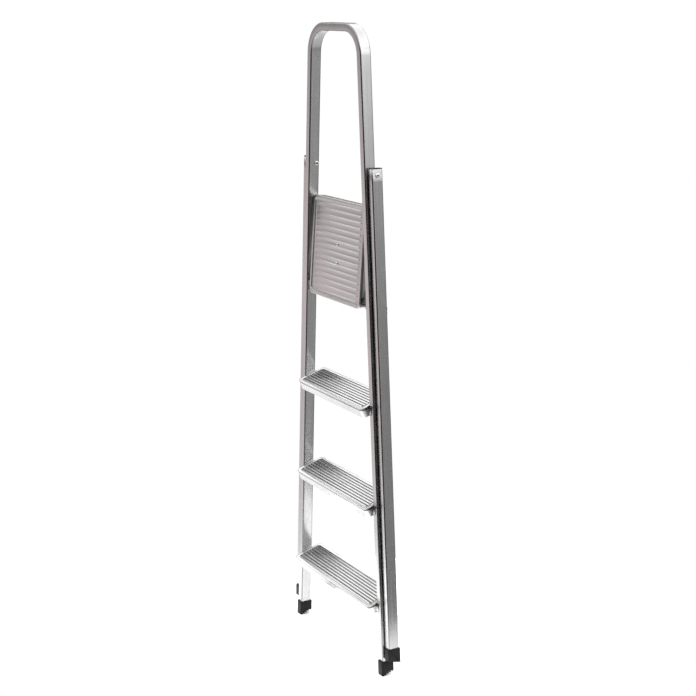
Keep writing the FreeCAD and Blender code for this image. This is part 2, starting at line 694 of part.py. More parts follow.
# ---- feet ----
def sleeve(x0, x1, y0, y1, z0, z1, seat, tube_x, tube_y):
    """Moulded shoe over a tube end, drawn beside an upright stile."""
    block = Part.Face(rounded_rect(x0, y0, x1, y1, FOOT_ROUND, z0)).extrude(V(0, 0, z1 - z0))
    top = [e for e in block.Edges if abs(e.CenterOfMass.z - z1) < SAME]
    block = block.makeChamfer(FOOT_CHAMFER, top)
    socket = rounded_rect(tube_x - FOOT_FIT, tube_y - FOOT_FIT, tube_x + TUBE_T + FOOT_FIT,
                          tube_y + TUBE_D + FOOT_FIT, TUBE_ROUND + FOOT_FIT, seat)
    return splayed(block.cut(Part.Face(socket).extrude(V(0, 0, z1))))


def shod(shape, degrees, y, z, y0, y1):
    """Cut the sole on a plane across the ladder through (y, z), with slots across it."""
    tools = [Part.makeBox(BIG, BIG, BIG, V(-BIG / 2, -BIG / 2, -BIG))]
    pitch = (y1 - y0) / (SOLE_SLOTS + 1)
    for i in range(SOLE_SLOTS):
        at = y0 - y + pitch * (i + 1) - SOLE_SLOT_W / 2
        tools.append(Part.makeBox(BIG, SOLE_SLOT_W, 2 * SOLE_SLOT_D, V(-BIG / 2, at, -SOLE_SLOT_D)))
    for tool in tools:
        tool.rotate(V(0, 0, 0), V(1, 0, 0), degrees)
        tool.translate(V(0, y, z))
        shape = shape.cut(tool)
    return shape


def front_foot():
    front = -FOOT_OUT
    rear = TUBE_D + FOOT_OUT
    shape = sleeve(-TUBE_T - FOOT_OUT, FOOT_BESIDE, front, rear, -FOOT_TOP, along(FOOT_TOP),
                   along(TUBE_END), -TUBE_T, 0)
    return shod(shape, LEAN, front, 0.0, front, rear)


def rear_foot():
    tube_y = PIVOT_Y - TUBE_D / 2
    front = tube_y - FOOT_OUT
    rear = tube_y + TUBE_D + FOOT_OUT
    shape = sleeve(LEG_GAP - FOOT_INNER, LEG_OUT + FOOT_OUT, front, rear, SOLE_Z - REAR_SLEEVE,
                   along(SOLE_Z + REAR_SLEEVE), along(SOLE_Z + REAR_SEAT), LEG_GAP, tube_y)
    return shod(shape, LEAN - OPEN_ANGLE, PIVOT_Y, SOLE_Z, front, rear)


# ---- assemblies ----
def front_frame():
    tube = hoop_tube()
    cuts = [pivot_bore()]
    for index in range(TREADS):
        for y, z in tread_rivet_spots(index):
            cuts.append(at_stile(rivet_hole(TREAD_GRIP), TREAD_SEAT, y, z))
    for y, z in bracket_rivet_spots():
        cuts.append(at_stile(rivet_hole(BRACKET_T + TUBE_WALL), BRACKET_SEAT, y, z))
    for tool in cuts:
        tube = tube.cut(tool).cut(mirrored(tool))
    return tube


def rear_leg():
    leg = leg_tube().cut(pivot_bore())
    for z in BRACE_RIVETS + RAIL_RIVETS:
        hole = facing_front(rivet_hole(BAR_WEB + TUBE_WALL), bar_rivet_x(z), RAIL_Y0 + BAR_WEB, z)
        leg = leg.cut(hole)
    return leg


def stile_rivets(grip, seat, spots):
    """A rivet at each (y, z) spot of the right stile, and its twin on the left."""
    rows = []
    for y, z in spots:
        rivet = at_stile(blind_rivet(grip), seat - RIVET_SEAT, y, z)
        rows.append(rivet)
        rows.append(mirrored(rivet))
    return Part.makeCompound(rows)


def pair(nodes, name, shape):
    nodes[name + "_right"] = shape
    nodes[name + "_left"] = mirrored(shape)


def build():
    nodes = {}
    nodes["front_hoop_frame"] = front_frame()
    tread_spots = []
    for index, name in enumerate(("lower", "middle", "upper")):
        nodes["tread_" + name] = tread(index)
        tread_spots += tread_rivet_spots(index)
    nodes["tread_rivets"] = stile_rivets(TREAD_GRIP, TREAD_SEAT, tread_spots)
    pair(nodes, "front_foot", front_foot())
    pair(nodes, "leg_pivot_rivet", pivot_rivet())
    pair(nodes, "leg_spacer_washer", leg_spacer())
    pair(nodes, "platform_bracket", platform_bracket())
    bracket_grip = BRACKET_T + RIVET_FIT + TUBE_WALL
    nodes["bracket_rivets"] = stile_rivets(bracket_grip, BRACKET_SEAT, bracket_rivet_spots())
    pair(nodes, "platform_pin", platform_pin())
    nodes["platform_tray"] = platform_tray()
    nodes["latch_clip"] = latch_clip()
    nodes["latch_clip_rivets"] = clip_rivets()
    pair(nodes, "rear_leg", rear_leg())
    pair(nodes, "rear_leg_plug", leg_plug())
    nodes["rear_lower_brace"] = channel(BRACE_Z - BRACE_H / 2, BRACE_H, BRACE_D, BRACE_RIVETS)
    nodes["platform_support_rail"] = channel(RAIL_TOP - RAIL_H, RAIL_H, RAIL_D, RAIL_RIVETS)
    nodes["lower_brace_rivets"] = bar_rivets(BRACE_RIVETS)
    nodes["support_rail_rivets"] = bar_rivets(RAIL_RIVETS)
    pair(nodes, "rear_foot", rear_foot())
    return nodes


def centred(nodes):
    """Move every node so that Y = 0 is the middle of the folded depth, to the millimetre."""
    front = min(shape.BoundBox.YMin for shape in nodes.values())
    rear = max(shape.BoundBox.YMax for shape in nodes.values())
    for shape in nodes.values():
        shape.translate(V(0, -round((front + rear) / 2), 0))
    return nodes


os.makedirs("parts", exist_ok=True)
for node, shape in centred(build()).items():
    shape.exportStep("parts/" + node + ".step")
    box = shape.BoundBox
    print("%-24s solids %2d valid %s volume %9.0f" % (node, len(shape.Solids), shape.isValid(), shape.Volume))
    print("    x %7.1f %7.1f  y %6.1f %6.1f  z %7.1f %7.1f" % (
        box.XMin, box.XMax, box.YMin, box.YMax, box.ZMin, box.ZMax))
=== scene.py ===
"""Looks of the folding aluminium stepladder: studio, materials and finer meshes around the CAD frame.

Everything is in metres in the frame of the CAD part: +Z up, the treads face -Y, X = 0 is the plane of
symmetry and the front feet stand on Z = 0.
"""
import math

import bmesh
import bpy
from mathutils import Matrix, Vector

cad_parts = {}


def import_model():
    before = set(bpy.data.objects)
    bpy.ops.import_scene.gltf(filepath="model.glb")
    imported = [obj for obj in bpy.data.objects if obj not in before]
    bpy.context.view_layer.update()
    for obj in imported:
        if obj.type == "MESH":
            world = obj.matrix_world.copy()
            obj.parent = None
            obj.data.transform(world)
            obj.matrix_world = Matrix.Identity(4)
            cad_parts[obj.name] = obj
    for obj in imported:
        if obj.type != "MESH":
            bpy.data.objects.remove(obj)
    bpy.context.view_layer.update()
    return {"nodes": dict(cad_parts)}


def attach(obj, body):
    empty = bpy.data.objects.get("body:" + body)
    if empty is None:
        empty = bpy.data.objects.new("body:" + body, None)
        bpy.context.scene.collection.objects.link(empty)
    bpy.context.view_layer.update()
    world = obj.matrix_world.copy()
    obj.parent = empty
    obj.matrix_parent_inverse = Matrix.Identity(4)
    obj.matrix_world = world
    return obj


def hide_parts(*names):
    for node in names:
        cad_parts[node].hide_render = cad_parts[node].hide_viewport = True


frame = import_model()
NODES = frame["nodes"]

# ---- sizes repeated from the CAD part ---------------------------------------------------------
OY = -0.019                    # the CAD part is moved by this much in depth
HEIGHT = 1.650
FLOOR_HALF = 0.235
SPLAY = math.atan(0.064)
TUBE_T = 0.020
TUBE_D = 0.030
TUBE_WALL = 0.0015
TUBE_ROUND = 0.003
BEND_R = 0.070
TUBE_END = 0.017
LEG_GAP = 0.003
PIVOT_Y = 0.022
LEG_TOP_Z = 1.307
PLUG_T = 0.0022
LEG_END_Z = 0.0566856
TREAD_DEPTH = 0.085
TREAD_RIM = 0.008

# ---- places on the tube's grain layer ------------------------------------------------------------
ARC = TUBE_ROUND * math.pi / 2
FLAT_T = TUBE_T - 2 * TUBE_ROUND
FLAT_D = TUBE_D - 2 * TUBE_ROUND
TUBE_EDGES = (ARC / 2, ARC * 1.5 + FLAT_T, ARC * 2.5 + FLAT_T + FLAT_D, ARC * 3.5 + 2 * FLAT_T + FLAT_D)
TUBE_ROUND_TRIP = 4 * ARC + 2 * FLAT_T + 2 * FLAT_D
LEG_SHADE_END = 1.290                # the painted shade on the stiles beside the rear legs stops at the top of the legs
RIGHT_LEG_RUN = 3.0            # where the lengths of the right rear leg start, apart from the hoop's
LEFT_LEG_RUN = 7.0

EVEN = (1.0, 1.0, 1.0)


# ---- node helpers -------------------------------------------------------------------------------
class Shader:
    """Small helper that builds one node material."""

    def __init__(self, name):
        self.material = bpy.data.materials.new(name)
        self.material.use_nodes = True
        self.tree = self.material.node_tree
        self.tree.nodes.clear()
        self.out = self.add("ShaderNodeOutputMaterial")
        self.bsdf = self.add("ShaderNodeBsdfPrincipled")
        self.link(self.bsdf.outputs[0], self.out.inputs[0])

    def add(self, kind, **values):
        node = self.tree.nodes.new(kind)
        for key, value in values.items():
            setattr(node, key, value)
        return node

    def link(self, a, b):
        self.tree.links.new(a, b)

    def put(self, socket, value):
        if isinstance(value, bpy.types.NodeSocket):
            self.link(value, socket)
        else:
            socket.default_value = value

    def set(self, name, value):
        self.put(self.bsdf.inputs[name], value)

    def coords(self, kind, scale):
        if kind == "UV":
            source = self.add("ShaderNodeUVMap", uv_map="grain").outputs[0]
        else:
            source = self.add("ShaderNodeTexCoord").outputs[kind]
        mapping = self.add("ShaderNodeMapping")
        mapping.inputs["Scale"].default_value = scale
        self.link(source, mapping.inputs["Vector"])
        return mapping.outputs[0]

    def noise(self, vector, scale, detail=3.0, rough=0.5, distortion=0.0):
        node = self.add("ShaderNodeTexNoise")
        self.link(vector, node.inputs["Vector"])
        node.inputs["Scale"].default_value = scale
        node.inputs["Detail"].default_value = detail
        node.inputs["Roughness"].default_value = rough
        node.inputs["Distortion"].default_value = distortion
        return node.outputs["Fac"]

    def cells(self, vector, scale):
        node = self.add("ShaderNodeTexVoronoi", feature="F1")
        self.link(vector, node.inputs["Vector"])
        node.inputs["Scale"].default_value = scale
        return node.outputs["Distance"]

    def span(self, value, low, high, to_low=0.0, to_high=1.0):
        node = self.add("ShaderNodeMapRange", clamp=True)
        self.put(node.inputs["Value"], value)
        node.inputs["From Min"].default_value = low
        node.inputs["From Max"].default_value = high
        node.inputs["To Min"].default_value = to_low
        node.inputs["To Max"].default_value = to_high
        return node.outputs["Result"]

    def math(self, operation, a, b=0.0):
        node = self.add("ShaderNodeMath", operation=operation)
        self.put(node.inputs[0], a)
        self.put(node.inputs[1], b)
        return node.outputs[0]

    def mix(self, factor, a, b):
        node = self.add("ShaderNodeMix", data_type="RGBA")
        self.put(node.inputs["Factor"], factor)
        self.put(node.inputs[6], a)
        self.put(node.inputs[7], b)
        return node.outputs[2]

    def layer(self):
        """The two coordinates of the grain layer, in metres."""
        source = self.add("ShaderNodeUVMap", uv_map="grain").outputs[0]
        split = self.add("ShaderNodeSeparateXYZ")
        self.link(source, split.inputs[0])
        return split.outputs[0], split.outputs[1]

    def within(self, value, low, high, soft):
        """1 between low and high, 0 outside, with soft edges."""
        rise = self.span(value, low - soft, low + soft)
        fall = self.span(value, high - soft, high + soft, 1.0, 0.0)
        return self.math("MULTIPLY", rise, fall)

    def bump(self, height, strength, distance):
        node = self.add("ShaderNodeBump")
        node.inputs["Strength"].default_value = strength
        node.inputs["Distance"].default_value = distance
        self.link(height, node.inputs["Height"])
        self.link(node.outputs[0], self.bsdf.inputs["Normal"])


def grey(value, tint=EVEN):
    return (value * tint[0], value * tint[1], value * tint[2], 1.0)


def aluminium(name, kind, along, light, dark, rough, spread, grain, bump=0.06, painted_shade=None):
    """Satin aluminium with drawing lines along one axis, soft blotches, handling nicks and, where a
    function is given, painted shade.

    along is the mapping scale that stretches the grain; the short axis of it is the grain direction.
    """
    m = Shader(name)
    lines = m.noise(m.coords(kind, along), grain, 4.0, 0.65)
    fine = m.noise(m.coords(kind, along), grain * 3.1, 2.0, 0.5)
    broad = m.noise(m.coords("Object", EVEN), 9.0, 3.0, 0.55, 0.4)
    smudge = m.span(m.noise(m.coords("Object", EVEN), 26.0, 4.0, 0.6, 0.8), 0.52, 0.74)
    nicks = m.span(m.cells(m.coords("Object", EVEN), 210.0), 0.0, 0.055, 1.0, 0.0)
    base = m.mix(m.span(lines, 0.30, 0.70), grey(dark), grey(light))
    base = m.mix(m.span(broad, 0.35, 0.70, 0.0, 0.35), base, grey(dark * 0.93))
    base = m.mix(m.math("MULTIPLY", nicks, 0.22), base, grey(dark * 0.7))
    # Painted shade: the given function darkens the colour towards near black where shade falls.
    if painted_shade:
        base = m.mix(painted_shade(m), base, grey(0.025))
    m.set("Base Color", base)
    m.set("Metallic", 1.0)
    streak = m.span(lines, 0.25, 0.75, rough - spread, rough + spread)
    m.set("Roughness", m.math("ADD", streak, m.math("MULTIPLY", smudge, 0.07)))
    height = m.math("ADD", lines, m.math("MULTIPLY", fine, 0.5))
    height = m.math("SUBTRACT", height, m.math("MULTIPLY", nicks, 0.5))
    m.bump(height, bump, 0.0002)
    return m


def tray_painted_shade(m):
    """Painted shade: darker colour in the grooves between the ribs of a tread and in the crease under
    its rolled lip.
    """
    depth, height = m.layer()
    field = m.within(depth, TREAD_RIM, TREAD_DEPTH - TREAD_RIM, 0.0001)
    # painted shade in the grooves between the ribs
    low = m.math("MULTIPLY", m.within(height, -0.0027, -0.0016, 0.0003), field)
    # painted shade in the crease under the rolled lip
    lip_shade = m.math("MULTIPLY", m.within(height, -0.0080, -0.0029, 0.0003), 0.8)
    return m.math("MAXIMUM", m.math("MULTIPLY", low, 0.75), lip_shade)


def tube_painted_shade(m):
    """Painted dark reflection along each rounded edge, painted shade on the outer sides of the stiles
    where the folded rear legs lie beside them, and painted shade on the outer sides of the rear legs.
    """
    turn, run = m.layer()
    near = 1.0
    for centre in TUBE_EDGES:
        near = m.math("MINIMUM", near, m.math("ABSOLUTE", m.math("SUBTRACT", turn, centre)))
    # Painted dark reflection: the colour is darkened along each rounded edge.
    edge = m.span(near, 0.0010, 0.0026, 0.60, 0.0)
    near_edge = TUBE_EDGES[3] + ARC / 2
    side = m.within(turn, TUBE_EDGES[3] + 0.001, TUBE_ROUND_TRIP, 0.0006)
    side = m.math("MULTIPLY", side, m.span(turn, near_edge + 0.0020, near_edge + 0.0090, 0.08, 0.95))
    # Painted shade on the stiles' outer sides, deeper towards the back, where the rear legs lie close
    # beside them.
    stile_side_shade = m.math("MULTIPLY", side, m.span(run, LEG_SHADE_END - 0.004, LEG_SHADE_END + 0.004, 1.0, 0.0))
    outer = m.within(turn, near_edge, TUBE_ROUND_TRIP, 0.0006)
    # Painted shade over the outer side of the rear legs.
    leg_side_shade = m.math("MULTIPLY", outer, m.span(run, 2.0, 2.5, 0.0, 0.30))
    return m.math("MAXIMUM", m.math("MAXIMUM", edge, stile_side_shade), leg_side_shade)


WALL_SHADE_CODE = -0.06              # height given on the grain layer to the tray's outer side walls, which take painted shade


def platform_painted_shade(m):
    """Painted shade on the outer walls, which lie close inside the stiles, and in the crease under the
    rolled lip.
    """
    depth, height = m.layer()
    wall_shade = m.span(height, WALL_SHADE_CODE + 0.005, WALL_SHADE_CODE + 0.015, 0.72, 0.0)
    lip_shade = m.math("MULTIPLY", m.within(height, -0.0080, -0.0029, 0.0003), 0.6)
    return m.math("MAXIMUM", wall_shade, lip_shade)


def plain_metal(name, light, dark, rough, tint):
    """Bright turned or plated metal for rivets, pins and the clip."""
    m = Shader(name)
    cloud = m.noise(m.coords("Object", EVEN), 160.0, 4.0, 0.6)
    fine = m.noise(m.coords("Object", EVEN), 900.0, 2.0, 0.5)
    base = m.mix(m.span(cloud, 0.35, 0.68), grey(dark, tint), grey(light, tint))
    # Painted shade: near black inside the holes of the rivets and the dimples of the pivot rivets.
    hole = m.span(m.layer()[1], -0.0004, 0.0, 1.0, 0.0)
    m.set("Base Color", m.mix(hole, base, grey(0.015)))
    m.set("Metallic", 1.0)
    m.set("Roughness", m.span(cloud, 0.30, 0.70, rough - 0.06, rough + 0.10))
    m.bump(fine, 0.12, 0.0001)
    return m


def plastic(name, low, high, rough, grain, bump):
    """Moulded plastic with a fine spark-eroded grain and rubbed patches."""
    m = Shader(name)
    broad = m.noise(m.coords("Object", EVEN), 38.0, 3.0, 0.55)
    fine = m.noise(m.coords("Object", EVEN), grain, 3.0, 0.6)
    scuff = m.span(m.noise(m.coords("Object", (1, 1, 0.35)), 120.0, 4.0, 0.7, 0.6), 0.58, 0.76)
    base = m.mix(m.span(broad, 0.35, 0.70), grey(low), grey(high))
    base = m.mix(m.math("MULTIPLY", scuff, 0.5), base, grey(high * 2.2))
    m.set("Base Color", base)
    m.set("Roughness", m.math("ADD", m.span(fine, 0.30, 0.70, rough - 0.08, rough + 0.08),
                              m.math("MULTIPLY", scuff, 0.12)))
    m.set("Specular IOR Level", 0.12)
    m.bump(fine, bump, 0.00025)
    return m


MATERIALS = {
    "tube_aluminium": aluminium("tube_aluminium", "UV", (260.0, 3.0, 1.0), 0.58, 0.50, 0.24, 0.05, 1.0,
                                painted_shade=tube_painted_shade),
    "tread_aluminium": aluminium("tread_aluminium", "Object", (3.0, 240.0, 240.0), 0.70, 0.62, 0.27,
                                 0.05, 1.0, painted_shade=tray_painted_shade),
    "platform_aluminium": aluminium("platform_aluminium", "Object", (3.0, 240.0, 240.0), 0.62, 0.55,
                                    0.32, 0.05, 1.0, painted_shade=platform_painted_shade),
    # Painted shade: the bracket aluminium is made dark to stand for the shade on the platform brackets
    # close inside the stiles; the rear brace and the support rail share this dark colour.
    "bracket_aluminium": aluminium("bracket_aluminium", "Object", (60.0, 60.0, 60.0), 0.26, 0.20,
                                   0.38, 0.07, 1.0, bump=0.12),
    "rivet_aluminium": plain_metal("rivet_aluminium", 0.86, 0.74, 0.24, EVEN),
    "pivot_steel": plain_metal("pivot_steel", 0.92, 0.80, 0.25, (1.0, 0.99, 0.97)),
    "clip_steel": plain_metal("clip_steel", 0.60, 0.46, 0.33, (1.0, 0.99, 0.95)),
    "washer_nylon": plastic("washer_nylon", 0.02, 0.03, 0.42, 700.0, 0.10),
    "foot_plastic": plastic("foot_plastic", 0.006, 0.012, 0.42, 900.0, 0.35),
}


def paint(obj, slot):
    obj.data.materials.clear()
    obj.data.materials.append(MATERIALS[slot].material)


# ---- tubes ----------------------------------------------------------------------------------------
def section_loop(inset):
    """Rounded rectangle as (across, depth, distance round it), centred on the tube."""
    a = TUBE_T / 2 - inset
    b = TUBE_D / 2 - inset
    r = TUBE_ROUND - inset
    steps = 6
    out = []
    for sx, sy, start in ((1, 1, 0), (-1, 1, 90), (-1, -1, 180), (1, -1, 270)):
        for i in range(steps + 1):
            angle = math.radians(start + 90 * i / steps)
            out.append((sx * (a - r) + r * math.cos(angle), sy * (b - r) + r * math.sin(angle)))
    return out


def sweep_tube(name, stations, lengths, slot, body, node):
    """Tube through stations of (centre, across direction), with u round it and v along it."""
    mesh = bmesh.new()
    uv = mesh.loops.layers.uv.new("grain")
    soft = 0.0003
    rings = [(centre, across, 0.0, length) for (centre, across), length in zip(stations, lengths)]
    first = stations[0]
    last = stations[-1]
    head = (last[0] - stations[-2][0]).normalized()
    tail = (stations[1][0] - first[0]).normalized()
    rings[0] = (first[0] + tail * soft, first[1], 0.0, lengths[0] + soft)
    rings[-1] = (last[0] - head * soft, last[1], 0.0, lengths[-1] - soft)
    ends = [(first[0], first[1], soft, lengths[0])]
    path = ends + rings + [(last[0], last[1], soft, lengths[-1])]
    path.append((last[0], last[1], TUBE_WALL - soft, lengths[-1] + TUBE_WALL))
    for centre, across, _, length in reversed(rings):
        path.append((centre, across, TUBE_WALL, length))
    path.append((first[0], first[1], TUBE_WALL - soft, lengths[0] - TUBE_WALL))
    loops = []
    for centre, across, inset, _ in path:
        row = []
        for a, b in section_loop(inset):
            row.append(mesh.verts.new(centre + across * a + Vector((0, 1, 0)) * b))
        loops.append(row)
    count = len(loops[0])
    turn = [0.0]
    shape = section_loop(0.0)
    for i in range(count):
        p = shape[i]
        q = shape[(i + 1) % count]
        turn.append(turn[-1] + math.hypot(q[0] - p[0], q[1] - p[1]))
    for k in range(len(loops)):
        here = loops[k]
        there = loops[(k + 1) % len(loops)]
        v0 = path[k][3]
        v1 = path[(k + 1) % len(loops)][3]
        for i in range(count):
            j = (i + 1) % count
            face = mesh.faces.new((here[i], here[j], there[j], there[i]))
            face.smooth = True
            corner = ((turn[i], v0), (turn[i + 1], v0), (turn[i + 1], v1), (turn[i], v1))
            for loop, place in zip(face.loops, corner):
                loop[uv].uv = place
    bmesh.ops.recalc_face_normals(mesh, faces=mesh.faces)
    data = bpy.data.meshes.new(name)
    mesh.to_mesh(data)
    mesh.free()
    obj = bpy.data.objects.new(name, data)
    bpy.context.scene.collection.objects.link(obj)
    paint(obj, slot)
    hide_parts(node)
    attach(obj, body)
    return obj


def hoop():
    """Right stile, bend, hoop flat, bend and left stile in one line."""
    s = math.sin(SPLAY)
    c = math.cos(SPLAY)
    half = TUBE_T / 2
    run = (HEIGHT - half + half * s) / c
    corner_x = FLOOR_HALF - half * c - run * s
    top = HEIGHT - half
    tangent = BEND_R * math.tan((math.pi / 2 - SPLAY) / 2)
    start = TUBE_END / c
    depth = OY + TUBE_D / 2
    foot = Vector((FLOOR_HALF - half * c - start * s, depth, start * c - half * s))
    rise = Vector((corner_x + tangent * s, depth, top - tangent * c))
    centre = Vector((corner_x - tangent, depth, top - BEND_R))
    stations = []
    straight = 40
    for i in range(straight):
        stations.append((foot.lerp(rise, i / straight), Vector((c, 0, s))))
    turns = 28
    for i in range(turns + 1):
        angle = SPLAY + (math.pi / 2 - SPLAY) * i / turns
        out = Vector((math.cos(angle), 0, math.sin(angle)))
        stations.append((centre + out * BEND_R, out))
    flat = 4
    for i in range(1, flat):
        x = centre.x * (1 - 2 * i / flat)
        stations.append((Vector((x, depth, top)), Vector((0, 0, 1))))
    for place, out in reversed(stations[:straight + turns + 1]):
        stations.append((Vector((-place.x, place.y, place.z)), Vector((-out.x, 0, out.z))))
    lengths = [0.0]
    for i in range(1, len(stations)):
        lengths.append(lengths[-1] + (stations[i][0] - stations[i - 1][0]).length)
    middle = lengths[-1] / 2
    lengths = [min(length, 2 * middle - length) for length in lengths]
    return sweep_tube("hoop_tube", stations, lengths, "tube_aluminium", "front_frame",
                      "front_hoop_frame")


def rear_leg(side):
    s = math.sin(SPLAY)
    c = math.cos(SPLAY)
    across = LEG_GAP + TUBE_T / 2
    start = LEG_END_Z / c
    end = LEG_TOP_Z / c - PLUG_T
    stations = []
    lengths = []
    steps = 40
    for i in range(steps + 1):
        h = start + (end - start) * i / steps
        x = FLOOR_HALF + across * c - h * s
        z = across * s + h * c
        stations.append((Vector((side * x, OY + PIVOT_Y, z)), Vector((side * c, 0, s))))
        lengths.append(h + (RIGHT_LEG_RUN if side > 0 else LEFT_LEG_RUN))
    word = "right" if side > 0 else "left"
    return sweep_tube("leg_tube_" + word, stations, lengths, "tube_aluminium", "rear_frame",
                      "rear_leg_" + word)


# ---- pressed and moulded parts -----------------------------------------------------------------
def deck_place(degrees, y, z):
    """Distance behind the front edge of a tray and height above its rim."""
    pitch = math.radians(degrees)
    front = Vector((0.0, OY + y, z))
    back = Vector((0.0, math.cos(pitch), math.sin(pitch)))
    up = Vector((0.0, -math.sin(pitch), math.cos(pitch)))

    def place(corners, centre, point):
        return (point - front).dot(back), (point - front).dot(up)

    return place


def platform_place(degrees, y, z):
    """As deck_place, with the outer side walls at the fixed wall code above instead of their height, so
    that they take painted shade.
    """
    plain = deck_place(degrees, y, z)

    def place(corners, centre, point):
        depth, height = plain(corners, centre, point)
        normal = (corners[1] - corners[0]).cross(corners[2] - corners[1])
        if abs(normal.x) > 0.8 * normal.length and normal.x * point.x > 0 and height < -0.0029:
            return depth, WALL_SHADE_CODE
        return depth, height

    return place


def bore_place(radius, direction):
    """Second coordinate -0.001 inside the hole of a rivet, 0 elsewhere."""
    def place(corners, centre, point):
        axis = Vector((math.copysign(direction[0], centre.x), direction[1], direction[2])).normalized()
        for corner in corners:
            away = corner - centre
            if (away - axis * away.dot(axis)).length > radius:
                return point.x, 0.0
        return point.x, -0.001

    return place


def islands(mesh):
    """Middle of the box round each connected piece, by vertex index."""
    seen = {}
    for first in mesh.verts:
        if first.index in seen:
            continue
        piece = [first]
        seen[first.index] = None
        for vert in piece:
            for edge in vert.link_edges:
                other = edge.other_vert(vert)
                if other.index not in seen:
                    seen[other.index] = None
                    piece.append(other)
        low = Vector([min(v.co[k] for v in piece) for k in range(3)])
        high = Vector([max(v.co[k] for v in piece) for k in range(3)])
        for vert in piece:
            seen[vert.index] = (low + high) / 2
    return seen


WELD = 0.000012
BEVEL_SEGMENTS = 2
BEVEL_ANGLE = 28.0             # edges sharper than this are rounded
SHARP_ANGLE = 35.0             # edges still sharper than this are shaded as sharp


def soften(node, slot, body, width, place=None):
    """Finer copy of a CAD node, its hard edges rounded by width, with the grain layer filled in."""
    source = NODES[node]
    data = source.data.copy()
    data.name = node + "_soft"
    obj = bpy.data.objects.new(node + "_soft", data)
    bpy.context.scene.collection.objects.link(obj)
    mesh = bmesh.new()
    mesh.from_mesh(data)
    bmesh.ops.remove_doubles(mesh, verts=mesh.verts, dist=WELD)
    bmesh.ops.dissolve_limit(mesh, angle_limit=math.radians(1.0), verts=mesh.verts, edges=mesh.edges)
    mesh.to_mesh(data)
    mesh.free()
    if data.has_custom_normals:
        bpy.context.view_layer.objects.active = obj
        obj.select_set(True)
        bpy.ops.mesh.customdata_custom_splitnormals_clear()
        obj.select_set(False)
    bevel = obj.modifiers.new("round", "BEVEL")
    bevel.width = width
    bevel.segments = BEVEL_SEGMENTS
    bevel.limit_method = "ANGLE"
    bevel.angle_limit = math.radians(BEVEL_ANGLE)
    bevel.use_clamp_overlap = True
    bevel.harden_normals = False
    graph = bpy.context.evaluated_depsgraph_get()
    done = bpy.data.meshes.new_from_object(obj.evaluated_get(graph))
    obj.modifiers.clear()
    obj.data = done
    if place:
        mesh = bmesh.new()
        mesh.from_mesh(done)
        mesh.verts.index_update()
        uv = mesh.loops.layers.uv.get("grain") or mesh.loops.layers.uv.new("grain")
        middle = islands(mesh)
        for face in mesh.faces:
            corners = [vert.co for vert in face.verts]
            for loop in face.loops:
                centre = middle[loop.vert.index]
                loop[uv].uv = place(corners, centre, loop.vert.co)
        mesh.to_mesh(done)
        mesh.free()
    for polygon in done.polygons:
        polygon.use_smooth = True
    done.set_sharp_from_angle(angle=math.radians(SHARP_ANGLE))
    paint(obj, slot)
    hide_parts(node)
    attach(obj, body)
    return obj


# ---- the object -----------------------------------------------------------------------------------
STILE_AXIS = (math.cos(SPLAY), 0.0, math.sin(SPLAY))
HOLE = 0.00135
DIMPLE = 0.00256
RIVETS = {
    "tread_rivets": ("rivet_aluminium", "front_frame", HOLE, STILE_AXIS),
    "bracket_rivets": ("rivet_aluminium", "front_frame", HOLE, STILE_AXIS),
    "latch_clip_rivets": ("rivet_aluminium", "platform", HOLE, (0.0, -0.9973, 0.0732)),
    "lower_brace_rivets": ("rivet_aluminium", "rear_frame", HOLE, (0.0, 1.0, 0.0)),
    "support_rail_rivets": ("rivet_aluminium", "rear_frame", HOLE, (0.0, 1.0, 0.0)),
    "leg_pivot_rivet_right": ("pivot_steel", "front_frame", DIMPLE, (1.0, 0.0, 0.0)),
    "leg_pivot_rivet_left": ("pivot_steel", "front_frame", DIMPLE, (1.0, 0.0, 0.0)),
    "platform_pin_right": ("pivot_steel", "front_frame", 0.0, (1.0, 0.0, 0.0)),
    "platform_pin_left": ("pivot_steel", "front_frame", 0.0, (1.0, 0.0, 0.0)),
}
hoop()
rear_leg(1)
rear_leg(-1)
for node, (slot, body, radius, direction) in RIVETS.items():
    soften(node, slot, body, 0.00025, bore_place(radius, direction))

TREAD_PITCH = 18.0
TREAD_NOSE = -0.025
TREAD_EDGES = {"tread_lower": 0.186, "tread_middle": 0.446333, "tread_upper": 0.706667}
PLAT_FOLD = 85.8
PLAT_LIP_Y = -0.005879
PLAT_LIP_Z = 0.953015
SOFT = {
    "platform_tray": ("platform_aluminium", "platform", 0.0004,
                      platform_place(PLAT_FOLD, PLAT_LIP_Y, PLAT_LIP_Z)),
    "platform_bracket_right": ("bracket_aluminium", "front_frame", 0.0005, None),
    "platform_bracket_left": ("bracket_aluminium", "front_frame", 0.0005, None),
    "latch_clip": ("clip_steel", "platform", 0.0004, bore_place(0.0, (1.0, 0.0, 0.0))),
    "leg_spacer_washer_right": ("washer_nylon", "front_frame", 0.0003, None),
    "leg_spacer_washer_left": ("washer_nylon", "front_frame", 0.0003, None),
    "rear_leg_plug_right": ("foot_plastic", "rear_frame", 0.0004, None),
    "rear_leg_plug_left": ("foot_plastic", "rear_frame", 0.0004, None),
    "rear_lower_brace": ("bracket_aluminium", "rear_frame", 0.0004, None),
    "platform_support_rail": ("bracket_aluminium", "rear_frame", 0.0004, None),
    "front_foot_right": ("foot_plastic", "front_frame", 0.0008, None),
    "front_foot_left": ("foot_plastic", "front_frame", 0.0008, None),
    "rear_foot_right": ("foot_plastic", "rear_frame", 0.0008, None),
    "rear_foot_left": ("foot_plastic", "rear_frame", 0.0008, None),
}
for node, edge in TREAD_EDGES.items():
    soften(node, "tread_aluminium", "front_frame", 0.0004, deck_place(TREAD_PITCH, TREAD_NOSE, edge))
for node, (slot, body, width, place) in SOFT.items():
    soften(node, slot, body, width, place)


